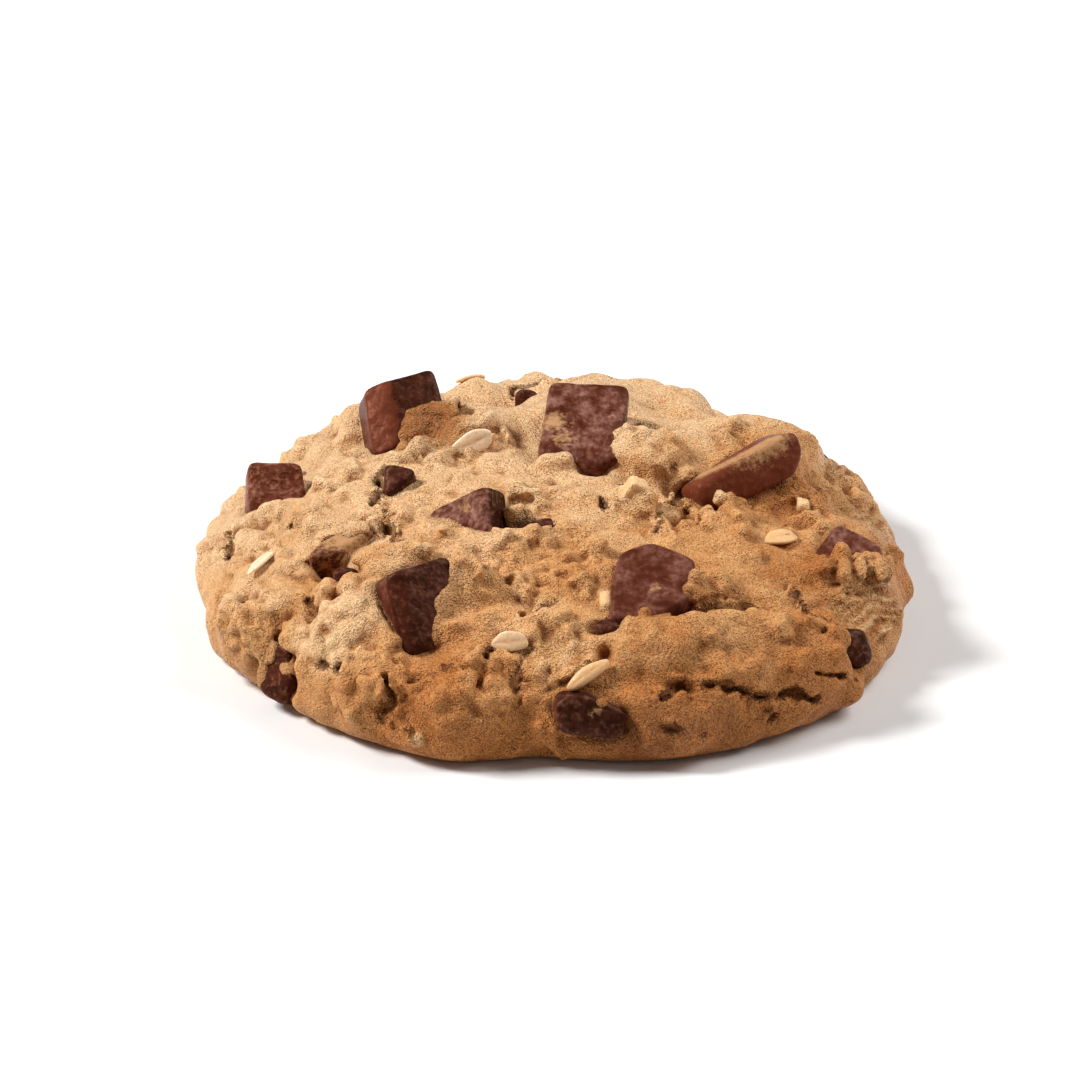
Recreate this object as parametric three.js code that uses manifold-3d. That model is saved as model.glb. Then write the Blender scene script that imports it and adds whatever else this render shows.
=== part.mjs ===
// A chocolate chunk cookie with rolled oats, at its real size in millimetres.
// +Z is up and the baked base rests on z = 0. +X runs to the right and +Y to the back
// of someone who faces the long crack along the front of the rim.

import * as THREE from "three";
import { ImprovedNoise } from "three/addons/math/ImprovedNoise.js";
import { mergeVertices } from "three/addons/utils/BufferGeometryUtils.js";
import Module from "manifold-3d";

const { degToRad, smoothstep } = THREE.MathUtils;

// Driving dimensions of the dough
const RADIUS = 50.4; // mean radius at the rim
const CROWN = 17.4; // height of the dome in the middle
const RIM_HEIGHT = 3.8; // height at which the side is widest
const BASE_TUCK = 2.6; // how far the base pulls in under the rim
const SHOULDER_POWER = 3; // how square the shoulder of the dome is
const CORE_HEIGHT = 4; // height on the axis that every surface point is seen from
const FACET_ROWS = 15; // splits along an edge of the icosahedron that the dough grows from
const TOP_SHARE = 0.88; // share of the facets that lies above the base

// Facets of the round lumps that are joined to the dough or scooped out of it
const BALL_SIDES = 9;
const BALL_RINGS = 5;

// Clearance between the dough and each chunk that is set in it
const FIT_GAP = 0.3;

// Chocolate slab that the chunks are broken from
const CORNER_ROUND = 1.1; // radius of a chunk's melted corners
const EDGE_ROUND = 0.7; // bevel round its faces
const FULL_SLAB = 5; // a chunk thinner than this has its rounding cut back in step

// Rolled oat flake, half of each size
const FLAKE_LENGTH = 2.4;
const FLAKE_WIDTH = 1.7;
const FLAKE_THICKNESS = 0.6;

// Lobes and notches round the rim: bearing in degrees from +X, half width in degrees,
// and how far the rim moves out in millimetres.
const LOBES = [
  { bearing: 28, spread: 9, out: -1.5 },
  { bearing: 56, spread: 9, out: -1.2 },
  { bearing: 92, spread: 16, out: 0.6 },
  { bearing: 145, spread: 10, out: -1.4 },
  { bearing: 166, spread: 6, out: 0.8 },
  { bearing: 206, spread: 4, out: 0.9 },
  { bearing: 217, spread: 5, out: -0.7 },
  { bearing: 254, spread: 5, out: 0.8 },
  { bearing: 267, spread: 7, out: -3.2 },
  { bearing: 280, spread: 7, out: -0.8 },
  { bearing: 308, spread: 19, out: 1 },
  { bearing: 326, spread: 8, out: 1.2 },
  { bearing: 352, spread: 10, out: -0.8 },
];

// Swells and hollows of the top: where they run from and to, how far they reach and
// how much they lift the dough. A round one runs from and to the same place.
const SWELLS = [
  { from: [4, 26], to: [4, 35], reach: 5.2, rise: 2.8 },
  { from: [-28, 26], to: [-17, 27], reach: 4.2, rise: 3 },
  { from: [-15, 16], to: [-13, 19], reach: 3.6, rise: 2.4 },
  { from: [-12, 31], to: [-4, 37], reach: 3.6, rise: -3.2 },
  { from: [-36, 20], to: [-38, 15], reach: 5, rise: -1.8 },
  { from: [-38, -2], to: [-34, -3], reach: 3, rise: 1.2 },
  { from: [15, 6], to: [16, 9], reach: 3.4, rise: 2.4 },
  { from: [27, 16], to: [32, 17], reach: 4.9, rise: 4.1 },
  { from: [40, 14], to: [43, 8], reach: 4, rise: -1.6 },
  { from: [19, 32], to: [19, 36], reach: 3, rise: 1.6 },
  { from: [25, 30], to: [26, 36], reach: 2.2, rise: -3.4 },
  { from: [16, -4], to: [19, -5], reach: 2.6, rise: -2.6 },
  { from: [29, -3], to: [33, -4], reach: 2.6, rise: -2 },
  { from: [-22, -22], to: [-9, -17], reach: 3.2, rise: 2 },
  { from: [-3, -25], to: [-3, -22], reach: 6, rise: -1.1 },
  { from: [-27, -27], to: [-25, -33], reach: 3.8, rise: 1.8 },
  { from: [-44, -22], to: [-42, -25], reach: 4, rise: 1.3 },
  { from: [38, -19], to: [45, -15], reach: 2.6, rise: 1.6 },
  { from: [13, -37], to: [37, -31], reach: 4.2, rise: 1.8 },
  { from: [18, -31], to: [40, -24], reach: 1.7, rise: -1.7 },
];

// Lumpy dough between those: rounded lumps with creases, coarse to fine.
const LUMPS = [
  { pitch: 11, rise: 1.5 },
  { pitch: 5.5, rise: 1.1 },
];

// Hollows in the side of the rim and pits beside the cracks, scooped out of the dough: a
// point near the surface and half sizes round the rim, up the side and inwards.
const SCOOPS = [
  { near: [-38, -32, 5.6], half: [5, 4, 4.5] },
  { near: [39.3, -30.6, 8.4], half: [3.2, 3.8, 4.6] },
  { near: [5.5, -49, 7.2], half: [6.5, 3.6, 2.6] },
  { near: [6.6, -40, 13.1], half: [1.6, 1.4, 2] },
  { near: [31.5, -38.5, 6.6], half: [1.4, 1, 1.8] },
  { near: [-32, -20.2, 14.6], half: [4, 2.4, 3.6] },
  { near: [-17.2, -37.6, 13.2], half: [3, 2.4, 2.6] },
];

// Cracks as points near the surface, each opened up along a chain of pointed cuts.
const CRACKS = [
  {
    path: [[13, -45, 11], [20, -43, 9.5], [27, -41, 8.2], [33, -38, 6.5], [38, -33, 4.6]],
    width: 1.5,
    depth: 2.6,
  },
  {
    path: [[17, -32, 15], [22, -31, 14], [27, -29, 14], [33, -27, 12], [38, -26, 9]],
    width: 1.3,
    depth: 2.4,
  },
  { path: [[-9, -39, 13], [-5, -34, 15], [0, -29, 16]], width: 0.9, depth: 1.8 },
  { path: [[-20, -38, 12], [-23, -41, 9], [-24, -44, 5]], width: 1.2, depth: 2.2 },
  { path: [[-24, -7, 18], [-24, -11, 17], [-23, -14, 17]], width: 1.4, depth: 2.4 },
  { path: [[32, -22, 14], [34, -25, 13]], width: 1, depth: 2 },
  { path: [[-6, 30, 19], [-12, 27, 17], [-14, 22, 18]], width: 1, depth: 1.8 },
];

// Rolled oats that show on the surface: a point near the surface, the turn of the flake
// and its tip towards the front in degrees, and its size against a full flake.
const OATS = [
  { near: [-11, 12, 18], turn: 20, tip: 18, size: 1 },
  { near: [-6, -38, 14], turn: 0, tip: 5, size: 1 },
  { near: [-39, -15, 13], turn: 62, tip: 0, size: 1 },
  { near: [31, -12, 16], turn: 8, tip: 5, size: 0.9 },
  { near: [4, -43, 12], turn: 38, tip: -10, size: 1.1 },
  { near: [9.5, -4, 18], turn: 80, tip: 20, size: 0.85 },
  { near: [34, -3, 15], turn: 40, tip: 10, size: 0.6 },
  { near: [-29, -34, 11], turn: 70, tip: 0, size: 0.7 },
  { near: [7, -31, 16], turn: 60, tip: 0, size: 0.6 },
  { near: [-19, -46, 4], turn: 20, tip: 0, size: 0.7 },
  { near: [-12, 40, 12], turn: 40, tip: 0, size: 1 },
  { near: [31, 33, 11], turn: 110, tip: 0, size: 1 },
  { near: [-42, 18, 10], turn: 150, tip: 0, size: 0.9 },
];

// Chunks by the broad face that shows. at is the middle of that face. lean tips it from
// facing up towards facing the front, and swing then turns it about the upright, both in
// degrees. face is the outline in the face's own plane and thick is the slab behind it.
const CHUNKS = {
  back_left: {
    at: [-21.8, 17.6, 20.3],
    lean: 40,
    swing: 24,
    face: [[-3.8, 5], [6.6, 5.6], [6, -5], [-5.6, -5.2]],
    thick: 6.5,
  },
  left: {
    at: [-39.5, 3.3, 15.8],
    lean: 48,
    swing: 10,
    face: [[-3.4, 3.8], [4, 3], [4.2, -3.8], [-4.2, -3.4]],
    thick: 6,
  },
  back: {
    at: [4.2, 11.7, 21],
    lean: 24,
    swing: 6,
    face: [[-4.2, 8.5], [7, 7], [4.5, -6], [1.5, -7.5], [-7, -4.5]],
    thick: 6,
  },
  back_right: {
    at: [26.7, 0.2, 20.1],
    lean: 62,
    swing: 25,
    face: [[-8, -1], [0, 1.7], [5.5, 3.4], [8.6, 3.6], [9.3, 1], [7.5, -2.2], [0, -4], [-7, -4]],
    thick: 7,
  },
  sliver: {
    at: [-22.2, 0.4, 18],
    lean: 35,
    swing: -10,
    face: [[-2.4, 2.6], [2.4, 2.2], [0.9, -0.8], [-1.4, -2.6]],
    thick: 4,
  },
  centre: {
    at: [-13.2, -10.8, 18.9],
    lean: 60,
    swing: -40,
    face: [[-5.5, -1.5], [2.5, 5], [5.5, -1], [-3.5, -5]],
    thick: 6.5,
  },
  left_middle: {
    at: [-29.6, -13.9, 16.6],
    lean: 14,
    swing: -14,
    face: [[-4, -4.2], [-3, -1], [2.2, 4.2], [4, 2.8], [0.4, -3.2]],
    thick: 6,
  },
  front_left: {
    at: [-17.2, -32, 16],
    lean: 52,
    swing: 34,
    face: [[-3.8, 5.8], [5.6, 5.8], [4.4, -5.8], [-5.6, -5.6]],
    thick: 6,
  },
  right_middle: {
    at: [12.6, -27.8, 17.6],
    lean: 22,
    swing: 5,
    face: [[-3.5, 5.5], [1, 7], [6.8, 3.6], [5.6, -3], [-0.5, -7], [-6, -6], [-5, 0]],
    thick: 6,
  },
  right: {
    at: [40.4, -12.5, 13.7],
    lean: 30,
    swing: 10,
    face: [[-5, 0], [-0.5, 5], [5, 0.5], [4.5, -4], [-3.5, -5]],
    thick: 6,
  },
  front: {
    at: [4.6, -47.9, 7.8],
    lean: 72,
    swing: 3,
    face: [[-5, 1.5], [-4, 3], [0, 3], [5, 0.5], [4, -3], [-4, -2]],
    thick: 6,
  },
  right_rim: {
    at: [41, -28.6, 7.4],
    lean: 60,
    swing: 42,
    face: [[-1, 3.4], [2.6, 2], [2.4, -2], [-0.6, -3.4], [-2.8, 0]],
    thick: 5,
  },
  left_rim: {
    at: [-38.8, -30.8, 5.4],
    lean: 58,
    swing: -38,
    face: [[-4, 3], [1, 4], [4, 0], [3.5, -4], [-1, -3]],
    thick: 3,
  },
  rear_left: {
    at: [-27, 40.8, 7.4],
    lean: 58,
    swing: 213,
    face: [[-6, 3], [4.5, 4.5], [6, -3], [-4, -4.5]],
    thick: 6,
  },
  rear: {
    at: [13, 46, 8.2],
    lean: 66,
    swing: 164,
    face: [[-4.5, 2], [0, 3.5], [4.5, 2.5], [4, -3], [-4, -3]],
    thick: 5.5,
  },
  rear_right: {
    at: [38, 28, 7.4],
    lean: 55,
    swing: 126,
    face: [[-5, 4], [4, 5], [6, -1.5], [1, -5], [-5.5, -3.5]],
    thick: 6,
  },
  bit_left: {
    at: [-28.8, -21.8, 15.8],
    lean: 10,
    swing: 0,
    face: [[-1.8, -0.6], [-1.2, 1.2], [1.8, 0.8], [1.8, -1.2]],
    thick: 3,
  },
  bit_middle: {
    at: [-2.9, -12.9, 17.6],
    lean: 30,
    swing: 15,
    face: [[-3, 0.8], [3, 1.6], [2.2, -0.8], [-2.6, -1.5]],
    thick: 3,
  },
  bit_front: {
    at: [6.9, -35.4, 15.2],
    lean: 25,
    swing: 0,
    face: [[-1.8, 0.6], [0.6, 1.2], [1.8, -0.6], [-1.2, -1.2]],
    thick: 3,
  },
  bit_back: {
    at: [-4.4, 33.5, 15.2],
    lean: 10,
    swing: 0,
    face: [[-1.8, -0.6], [-0.6, 1.2], [1.8, 0.6], [1.8, -1.2]],
    thick: 3,
  },
};

// Dough that rose over part of a chunk's face: the middle of the lap in the plane of that
// face, and half sizes across the face, up it and out of it.
const LAPS = [
  { chunk: "back_left", at: [4.4, -5], half: [7.8, 6.8, 1.6] },
  { chunk: "left", at: [0, -5.2], half: [6, 2.8, 1.2] },
  { chunk: "front_left", at: [6.6, -1.6], half: [5.6, 6.6, 1.6] },
  { chunk: "right", at: [0, -4.6], half: [5.6, 3.4, 1.6] },
];

const wasm = await Module();
wasm.setup();
const noise = new ImprovedNoise();

// A closed three.js geometry as a solid that can be joined and cut.
function solidOf(geometry, matrix = new THREE.Matrix4()) {
  const bare = new THREE.BufferGeometry();
  bare.setAttribute("position", geometry.getAttribute("position").clone());
  bare.setIndex(geometry.index);
  const merged = mergeVertices(bare.applyMatrix4(matrix), 1e-3);
  return new wasm.Manifold(
    new wasm.Mesh({
      numProp: 3,
      vertProperties: merged.attributes.position.array,
      triVerts: new Uint32Array(merged.index.array),
    }),
  );
}

function geometryOf(solid) {
  const { numProp, vertProperties, triVerts } = solid.getMesh();
  const geometry = new THREE.BufferGeometry();
  geometry.setAttribute("position", new THREE.BufferAttribute(vertProperties, numProp));
  geometry.setIndex(new THREE.BufferAttribute(triVerts, 1));
  geometry.computeVertexNormals();
  return geometry;
}

const bell = (distance, reach) => Math.exp(-0.5 * (distance / reach) ** 2);

// Half profile of the dough from the crown, over the shoulder and rim, to the flat base.
function doughProfile() {
  const points = [];
  const steps = 24;
  for (let i = 0; i <= steps; i++) {
    const turn = ((i / steps) * Math.PI) / 2;
    const radius = RADIUS * Math.sin(turn) ** (2 / SHOULDER_POWER);
    const height = RIM_HEIGHT + (CROWN - RIM_HEIGHT) * Math.cos(turn);
    points.push(new THREE.Vector2(radius, height));
  }
  points.push(new THREE.Vector2(RADIUS - BASE_TUCK / 3, RIM_HEIGHT / 3));
  points.push(new THREE.Vector2(RADIUS - BASE_TUCK, 0));
  return new THREE.SplineCurve(points);
}

// How far the rim stands out at a bearing, against the mean radius.
function rimScale(bearing) {
  let out = 0;
  for (const lobe of LOBES) {
    const away = THREE.MathUtils.euclideanModulo(bearing - lobe.bearing + 180, 360) - 180;
    out += lobe.out * bell(away, lobe.spread);
  }
  return 1 + out / RADIUS;
}

// How far the surface stands off the smooth dome at a point.
function relief(point) {
  const spot = new THREE.Vector3(point.x, point.y, 0);
  const nearest = new THREE.Vector3();
  let rise = 0;
  for (const swell of SWELLS) {
    const run = new THREE.Line3(
      new THREE.Vector3(...swell.from, 0),
      new THREE.Vector3(...swell.to, 0),
    );
    run.closestPointToPoint(spot, true, nearest);
    rise += swell.rise * bell(spot.distanceTo(nearest), swell.reach);
  }
  for (const lump of LUMPS) {
    const { x, y, z } = point.clone().divideScalar(lump.pitch);
    rise += lump.rise * (Math.abs(noise.noise(x, y, z)) - 0.25);
  }
  return rise;
}

// The dough before anything is set in it: an even ball of facets pressed to the profile.
function bareDough() {
  const ball = new THREE.IcosahedronGeometry(1, FACET_ROWS);
  ball.deleteAttribute("normal");
  ball.deleteAttribute("uv");
  const geometry = mergeVertices(ball, 1e-4);
  const profile = doughProfile();
  const position = geometry.getAttribute("position");
  const facet = new THREE.Vector3();
  const place = new THREE.Vector3();
  for (let i = 0; i < position.count; i++) {
    facet.fromBufferAttribute(position, i);
    const bearing = Math.atan2(facet.y, facet.x);
    const scale = rimScale(THREE.MathUtils.radToDeg(bearing));
    const share = (1 - facet.z) / 2;
    if (share < TOP_SHARE) {
      const along = Math.sqrt(share / TOP_SHARE);
      const { x: radius, y: height } = profile.getPointAt(along);
      const slope = profile.getTangentAt(along);
      place.set(radius * scale * Math.cos(bearing), radius * scale * Math.sin(bearing), height);
      const lift = relief(place) * smoothstep(height, 0, RIM_HEIGHT);
      place.x -= slope.y * lift * Math.cos(bearing);
      place.y -= slope.y * lift * Math.sin(bearing);
      place.z += slope.x * lift;
    } else {
      const radius = (RADIUS - BASE_TUCK) * scale * Math.sqrt((1 - share) / (1 - TOP_SHARE));
      place.set(radius * Math.cos(bearing), radius * Math.sin(bearing), 0);
    }
    position.setXYZ(i, place.x, place.y, place.z);
  }
  return geometry;
}

// The point and outward normal of the dough in line with a point near its surface.
function surfaceNear(near, doughMesh) {
  const core = new THREE.Vector3(0, 0, CORE_HEIGHT);
  const outward = new THREE.Vector3(...near).sub(core).normalize();
  const start = core.clone().addScaledVector(outward, 2 * RADIUS);
  const [hit] = new THREE.Raycaster(start, outward.clone().negate()).intersectObject(doughMesh);
  return { point: hit.point, normal: hit.face.normal.clone() };
}

// A frame on the surface with its Z along the normal and its X along a run.
function surfaceFrame(point, normal, run) {
  const side = new THREE.Vector3().crossVectors(normal, run).normalize();
  const along = new THREE.Vector3().crossVectors(side, normal);
  return new THREE.Matrix4().makeBasis(along, side, normal).setPosition(point);
}

// One crack as pointed cuts end to end, widest in its middle.
function crackCuts({ path, width, depth }, doughMesh) {
  const stops = path.map((near) => surfaceNear(near, doughMesh));
  const cuts = [];
  for (let i = 1; i < stops.length; i++) {
    const run = new THREE.Vector3().subVectors(stops[i].point, stops[i - 1].point);
    const point = stops[i].point.clone().addScaledVector(run, -0.5);
    const normal = stops[i].normal.clone().add(stops[i - 1].normal).normalize();
    const half = new THREE.Vector3(0.62 * run.length(), width / 2, depth);
    const frame = surfaceFrame(point, normal, run).scale(half);
    cuts.push(solidOf(new THREE.OctahedronGeometry(1, 0), frame));
  }
  return cuts;
}

// One hollow with its long way round the rim.
function scoopCut({ near, half }, doughMesh) {
  const { point } = surfaceNear(near, doughMesh);
  const normal = new THREE.Vector3(point.x, point.y, point.z - CORE_HEIGHT).normalize();
  const run = new THREE.Vector3(-normal.y, normal.x, 0);
  const frame = surfaceFrame(point, normal, run).scale(new THREE.Vector3(...half));
  return solidOf(new THREE.SphereGeometry(1, BALL_SIDES, BALL_RINGS), frame);
}

// One oat flake, lying half sunk on the surface.
function oatFlake({ near, turn, tip, size }, doughMesh) {
  const { point, normal } = surfaceNear(near, doughMesh);
  normal.applyAxisAngle(new THREE.Vector3(1, 0, 0), degToRad(tip));
  const run = new THREE.Vector3(Math.cos(degToRad(turn)), Math.sin(degToRad(turn)), 0);
  const half = new THREE.Vector3(FLAKE_LENGTH, FLAKE_WIDTH, FLAKE_THICKNESS / size);
  const frame = surfaceFrame(point, normal, run).scale(half.multiplyScalar(size));
  return solidOf(new THREE.SphereGeometry(1, BALL_SIDES, BALL_RINGS), frame);
}

// An outline with its corners melted round.
function meltedOutline(corners) {
  const outline = new THREE.Shape();
  corners.forEach((corner, i) => {
    const before = corners.at(i - 1);
    const after = corners[(i + 1) % corners.length];
    const shorten = (other) => Math.min(CORNER_ROUND / corner.distanceTo(other), 0.4);
    const start = corner.clone().lerp(before, shorten(before));
    const end = corner.clone().lerp(after, shorten(after));
    if (i === 0) outline.moveTo(start.x, start.y);
    else outline.lineTo(start.x, start.y);
    outline.quadraticCurveTo(corner.x, corner.y, end.x, end.y);
  });
  outline.closePath();
  return outline;
}

// A slab behind an outline that lies at z = 0, its edges bevelled in a number of steps
// and the whole widened all round.
function slab(outline, thick, edgeSteps, grow) {
  const edge = EDGE_ROUND * Math.min(thick / FULL_SLAB, 1);
  const geometry = new THREE.ExtrudeGeometry(outline, {
    depth: thick - 2 * edge + 2 * grow,
    curveSegments: 2,
    bevelSegments: edgeSteps,
    bevelSize: edge,
    bevelThickness: edge,
    bevelOffset: grow - edge,
  });
  return geometry.translate(0, 0, edge - thick - grow);
}

// A chunk in its place in the cookie.
function chunkMesh({ at, lean, swing, face, thick }) {
  const corners = face.map(([x, y]) => new THREE.Vector2(x, y));
  const mesh = new THREE.Mesh(slab(meltedOutline(corners), thick, 2, 0), chocolateMaterial);
  mesh.position.set(...at);
  mesh.rotation.set(degToRad(lean), 0, degToRad(swing), "ZYX");
  mesh.updateMatrix();
  return mesh;
}

// The pocket that a chunk sits in, with its clearance and with plain corners.
function pocket({ face, thick }, mesh) {
  const outline = new THREE.Shape(face.map(([x, y]) => new THREE.Vector2(x, y)));
  return solidOf(slab(outline, thick, 1, FIT_GAP), mesh.matrix);
}

// One lap of dough over a chunk's face.
function lapOver({ at, half }, mesh) {
  const frame = mesh.matrix.clone().multiply(new THREE.Matrix4().makeTranslation(...at, 0));
  const ball = new THREE.SphereGeometry(1, BALL_SIDES, BALL_RINGS);
  return solidOf(ball, frame.scale(new THREE.Vector3(...half)));
}

const doughMaterial = new THREE.MeshStandardMaterial({
  color: 0xb98149,
  roughness: 0.9,
  metalness: 0,
});
const chocolateMaterial = new THREE.MeshStandardMaterial({
  color: 0x4a2418,
  roughness: 0.45,
  metalness: 0,
});

const cookie = new THREE.Group();
for (const [place, chunk] of Object.entries(CHUNKS)) {
  const mesh = chunkMesh(chunk);
  mesh.name = `chunk_${place}`;
  cookie.add(mesh);
}
const chunkNamed = (place) => cookie.getObjectByName(`chunk_${place}`);

const bareMesh = new THREE.Mesh(bareDough(), doughMaterial);
let dough = solidOf(bareMesh.geometry);
for (const scoop of SCOOPS) dough = dough.subtract(scoopCut(scoop, bareMesh));
for (const lap of LAPS) dough = dough.add(lapOver(lap, chunkNamed(lap.chunk)));
for (const oat of OATS) dough = dough.add(oatFlake(oat, bareMesh));
for (const crack of CRACKS) {
  for (const cut of crackCuts(crack, bareMesh)) dough = dough.subtract(cut);
}
for (const [place, chunk] of Object.entries(CHUNKS)) {
  dough = dough.subtract(pocket(chunk, chunkNamed(place)));
}

// Crumbs that the cuts leave loose are dropped.
const [body] = dough.decompose().sort((a, b) => b.volume() - a.volume());
const doughMesh = new THREE.Mesh(geometryOf(body), doughMaterial);
doughMesh.name = "dough";
cookie.add(doughMesh);

// The cookie stands with the middle of its outline on the upright axis.
const middle = new THREE.Box3().setFromObject(cookie).getCenter(new THREE.Vector3());
for (const mesh of cookie.children) mesh.position.sub(middle.setZ(0));

export default cookie;
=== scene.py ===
import math

import bpy
import numpy as np
import openvdb
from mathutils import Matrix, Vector


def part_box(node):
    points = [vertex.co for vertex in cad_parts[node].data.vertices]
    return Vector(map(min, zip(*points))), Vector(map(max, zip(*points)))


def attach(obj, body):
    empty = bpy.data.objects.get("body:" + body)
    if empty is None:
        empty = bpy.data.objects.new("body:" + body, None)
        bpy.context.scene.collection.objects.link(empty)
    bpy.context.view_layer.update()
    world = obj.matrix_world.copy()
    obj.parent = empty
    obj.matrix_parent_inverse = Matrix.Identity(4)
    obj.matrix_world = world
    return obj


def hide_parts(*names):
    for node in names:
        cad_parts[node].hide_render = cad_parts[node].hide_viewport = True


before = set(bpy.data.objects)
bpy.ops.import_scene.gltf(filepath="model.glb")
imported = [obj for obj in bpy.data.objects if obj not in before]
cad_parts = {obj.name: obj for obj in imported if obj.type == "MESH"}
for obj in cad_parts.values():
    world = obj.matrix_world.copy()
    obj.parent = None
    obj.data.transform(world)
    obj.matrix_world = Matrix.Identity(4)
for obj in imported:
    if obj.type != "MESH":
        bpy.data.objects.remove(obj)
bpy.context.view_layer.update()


# Dough. Oat cookie dough that was dropped as a ball, spread in the oven and set: a flat base,
# a browned rim and a dome that tore open as it rose. The chocolate is baked into it, so it
# laps over the chunks and closes round them.

MM = 0.001
CELL = 0.4  # size of a shaping cell
EDGE_ROOM = 2.5  # round the CAD solid, for lumps that stand out
BAND = 3.0  # how far from a surface its distance is kept
CORE = np.array([0, 0, 4.0])  # point inside that sees every spot of the surface
rng = np.random.default_rng(28)


class Block:
    """A box of small cells, in millimetres, that a piece is shaped in.

    A shape is a field: the distance of each cell from the surface, negative inside.
    """

    def __init__(self, low, high, cell):
        self.cell = cell
        self.low = low
        self.count = np.ceil((high - low) / cell).astype(int) + 1

    def solid(self, *nodes):
        """The field of CAD nodes taken together."""
        points, triangles, first = [], [], 0
        for node in nodes:
            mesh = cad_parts[node].data
            mesh.calc_loop_triangles()
            corners = np.empty(3 * len(mesh.vertices), np.float32)
            mesh.vertices.foreach_get("co", corners)
            faces = np.empty(3 * len(mesh.loop_triangles), np.int32)
            mesh.loop_triangles.foreach_get("vertices", faces)
            points.append(corners.reshape(-1, 3) / MM)
            triangles.append(faces.reshape(-1, 3) + first)
            first += len(mesh.vertices)
        grid = openvdb.FloatGrid.createLevelSetFromPolygons(
            ((np.concatenate(points) - self.low) / self.cell).astype(np.float32),
            triangles=np.concatenate(triangles).astype(np.uint32),
            halfWidth=BAND / self.cell,
        )
        field = np.empty(self.count, np.float32)
        grid.copyToArray(field)
        return field * self.cell

    def blur(self, field, reach):
        """The field evened out over a reach."""
        taps = int(2.5 * reach / self.cell) + 1
        weights = np.exp(-0.5 * (np.arange(-taps, taps + 1) * self.cell / reach) ** 2)
        weights = (weights / weights.sum()).astype(np.float32)
        for axis in range(3):
            margin = [(taps, taps) if side == axis else (0, 0) for side in range(3)]
            wide = np.pad(field, margin, "edge")
            total = np.zeros_like(field)
            for tap, weight in enumerate(weights):
                cut = [slice(None)] * 3
                cut[axis] = slice(tap, tap + field.shape[axis])
                total += weight * wide[tuple(cut)]
            field = total
        return field

    def hills(self, pitch):
        """Smooth random hills and hollows, about a pitch apart and mostly within -1 to 1."""
        matrices = []
        for count in self.count:
            at = np.arange(count) * self.cell / pitch
            knot = np.floor(at).astype(int)
            t = at - knot
            matrix = np.zeros((count, knot[-1] + 4), np.float32)
            spline = ((1 - t) ** 3, 3 * t**3 - 6 * t**2 + 4, 1 + 3 * t + 3 * t**2 - 3 * t**3, t**3)
            for step, weight in enumerate(spline):
                matrix[np.arange(count), knot + step] = weight / 6
            matrices.append(matrix)
        field = rng.uniform(-3, 3, [matrix.shape[1] for matrix in matrices]).astype(np.float32)
        for matrix in matrices:
            field = np.tensordot(field, matrix, axes=(0, 1))
        return field

    def at(self, field, points):
        """The field at points between the cells."""
        place = (points - self.low) / self.cell
        cell = np.clip(place.astype(int), 0, self.count - 2)
        part = np.clip(place - cell, 0, 1)
        total = np.zeros(len(place))
        for corner in np.ndindex(2, 2, 2):
            weight = np.prod(np.where(corner, part, 1 - part), axis=1)
            total += weight * field[tuple((cell + corner).T)]
        return total

    def slope(self, field, points):
        """The outward direction of the surface at points near it."""
        step = 1.5 * self.cell * np.eye(3)
        rise = [self.at(field, points + s) - self.at(field, points - s) for s in step]
        rise = np.stack(rise, axis=1)
        return rise / np.linalg.norm(rise, axis=1, keepdims=True)

    def near(self, centre, reach):
        """The cells round a point, and how far they lie from it along X, Y and Z."""
        low = np.clip((centre - reach - self.low) // self.cell, 0, self.count).astype(int)
        high = np.clip((centre + reach - self.low) // self.cell + 2, 0, self.count).astype(int)
        away = [
            self.low[axis] + self.cell * np.arange(low[axis], high[axis]) - centre[axis]
            for axis in range(3)
        ]
        return tuple(map(slice, low, high)), np.meshgrid(*away, indexing="ij")

    def piece(self, name, field, merge):
        """A smooth mesh object of the surface, merged where flat, and its points."""
        limit = 3 * self.cell
        grid = openvdb.FloatGrid(limit)
        grid.copyFromArray(np.clip(field, -limit, limit).astype(np.float32))
        points, triangles, quads = grid.convertToPolygons(0.0, merge)
        points = points * self.cell + self.low
        return mesh_piece(name, points, [triangles[:, ::-1], quads[:, ::-1]]), points


def add_object(name, data):
    """A new object in the scene."""
    thing = bpy.data.objects.new(name, data)
    bpy.context.scene.collection.objects.link(thing)
    return thing


def mesh_piece(name, points, faces):
    """A smooth object from points in millimetres and arrays of triangles and quads."""
    faces = [face.astype(np.int32) for face in faces if len(face)]
    sizes = np.concatenate([np.full(len(face), face.shape[1]) for face in faces])
    corners = np.concatenate([face.ravel() for face in faces])
    mesh = bpy.data.meshes.new(name)
    mesh.vertices.add(len(points))
    mesh.vertices.foreach_set("co", (points * MM).ravel())
    mesh.loops.add(len(corners))
    mesh.loops.foreach_set("vertex_index", corners)
    mesh.polygons.add(len(sizes))
    mesh.polygons.foreach_set("loop_start", (np.cumsum(sizes) - sizes).astype(np.int32))
    mesh.update(calc_edges=True)
    mesh.validate()
    mesh.shade_smooth()
    return add_object(name, mesh)


def soft_join(a, b, blend):
    """Two fields joined into one, with a fillet where they meet."""
    share = np.clip(0.5 + 0.5 * (b - a) / blend, 0, 1)
    return b + (a - b) * share - blend * share * (1 - share)


def step_up(value, low, high):
    """0 below low, 1 above high and a smooth rise between them."""
    t = np.clip((value - low) / (high - low), 0, 1)
    return t * t * (3 - 2 * t)


def distance(away):
    """How far cells or spots lie from a point."""
    return np.sqrt(sum(a * a for a in away))


def ahead(away, direction):
    """How far cells lie ahead of a point in a direction."""
    return sum(a * part for a, part in zip(away, direction))


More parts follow.
